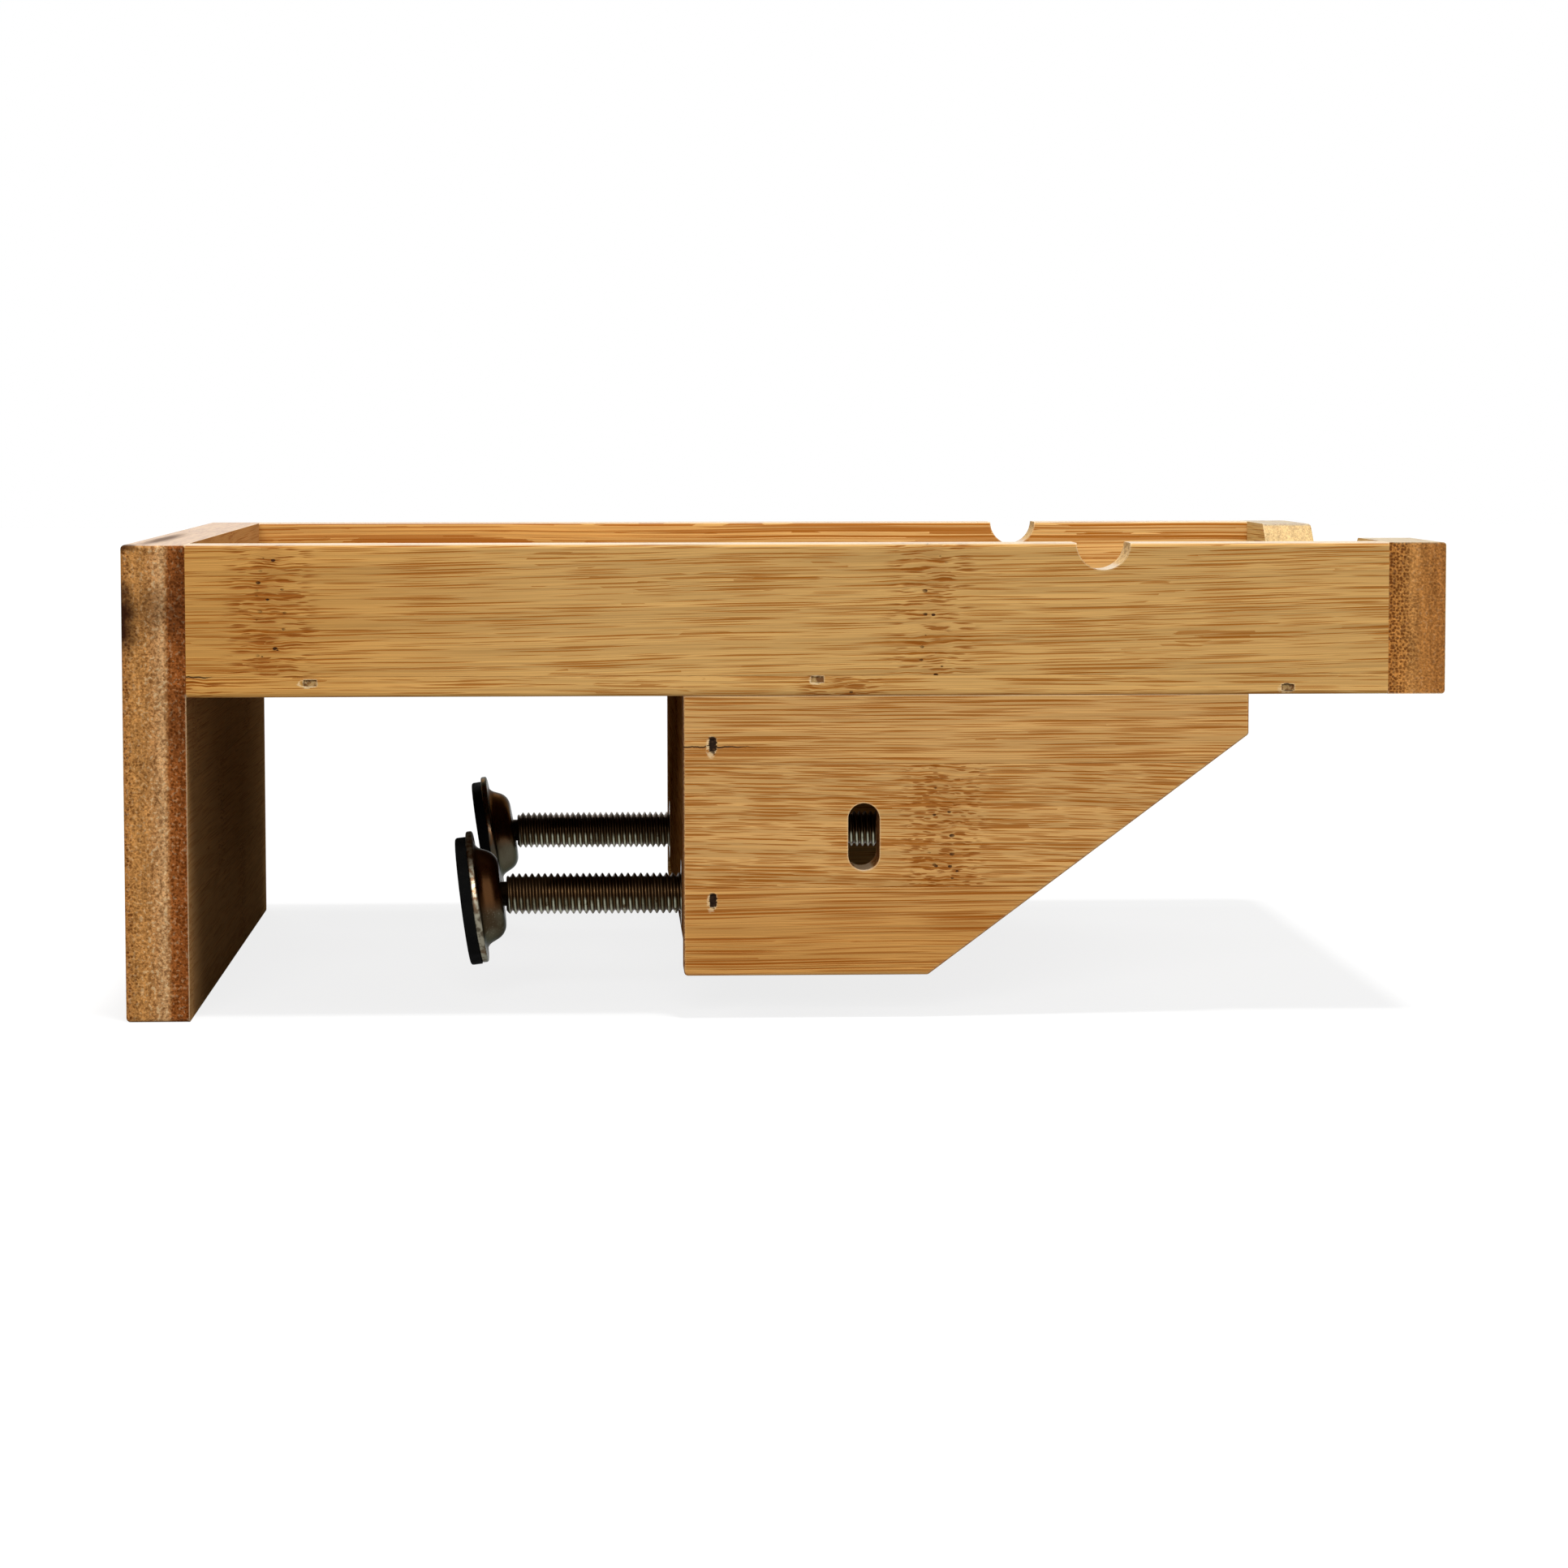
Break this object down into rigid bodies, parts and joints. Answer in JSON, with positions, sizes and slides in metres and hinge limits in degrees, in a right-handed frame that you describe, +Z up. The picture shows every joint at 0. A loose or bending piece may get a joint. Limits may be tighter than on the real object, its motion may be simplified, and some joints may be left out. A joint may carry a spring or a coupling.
{
  "type": "clip-on bedside shelf",
  "caption": "Bamboo tray that hooks over a bed rail: tall hook plate, brackets with a cross board, and clamp screws with swivelling rubber-faced feet.",
  "frame": {"origin": "centre of the bounding box's bottom, at the level of the hook plate's lower edge", "axes": "+X from the hook plate to the front board, +Y to the far side, +Z up"},
  "size_m": [0.25, 0.195, 0.09],
  "materials": {
    "bamboo": "clear satin lacquer on laminated bamboo",
    "screw_steel": "dull, oiled",
    "bush_zinc": "zinc plated",
    "foot_rubber": "matte black",
    "brad_steel": "dark, slightly rusted"
  },
  "bodies": {
    "frame": {"hook_plate": "bamboo", "near_rail": "bamboo", "far_rail": "bamboo", "front_board": "bamboo", "tray_floor": "bamboo", "near_bracket": "bamboo", "far_bracket": "bamboo", "cross_board": "bamboo", "near_bush": "bush_zinc", "far_bush": "bush_zinc", "near_rail_brads": "brad_steel", "far_rail_brads": "brad_steel", "near_bracket_brads": "brad_steel", "far_bracket_brads": "brad_steel", "hook_plate_brads": "brad_steel", "front_board_brads": "brad_steel"},
    "near_carrier": {"near_foot_washer": "screw_steel"},
    "near_clamp_screw": {"near_screw": "screw_steel", "near_tommy_bar": "screw_steel"},
    "near_foot": {"near_foot_cup": "screw_steel", "near_foot_rubber": "foot_rubber"},
    "far_carrier": {"far_foot_washer": "screw_steel"},
    "far_clamp_screw": {"far_screw": "screw_steel", "far_tommy_bar": "screw_steel"},
    "far_foot": {"far_foot_cup": "screw_steel", "far_foot_rubber": "foot_rubber"}
  },
  "joints": [
    {"name": "near_travel", "type": "slide", "parent": "frame", "child": "near_carrier", "axis": [-1, 0, 0], "range_m": [-0.03188, 0.03687]},
    {"name": "near_screw_spin", "type": "hinge", "parent": "near_carrier", "child": "near_clamp_screw", "pos_m": [-0.0552, -0.0685, 0.021], "axis": [-1, 0, 0], "range_deg": [-9190, 10630]},
    {"name": "near_foot_tilt", "type": "hinge", "parent": "near_carrier", "child": "near_foot", "pos_m": [-0.0552, -0.0685, 0.021], "axis": [0, 1, 0], "range_deg": [-5.6, 20]},
    {"name": "far_travel", "type": "slide", "parent": "frame", "child": "far_carrier", "axis": [-1, 0, 0], "range_m": [-0.03188, 0.03687]},
    {"name": "far_screw_spin", "type": "hinge", "parent": "far_carrier", "child": "far_clamp_screw", "pos_m": [-0.05545, 0.0685, 0.021], "axis": [-1, 0, 0], "range_deg": [-9190, 10630]},
    {"name": "far_foot_tilt", "type": "hinge", "parent": "far_carrier", "child": "far_foot", "pos_m": [-0.05545, 0.0685, 0.021], "axis": [0, 1, 0], "range_deg": [-3.9, 21.7]}
  ],
  "couplings": [
    {"joint": "near_screw_spin", "follows": "near_travel", "rad_per_m": 5026.5},
    {"joint": "far_screw_spin", "follows": "far_travel", "rad_per_m": 5026.5}
  ]
}
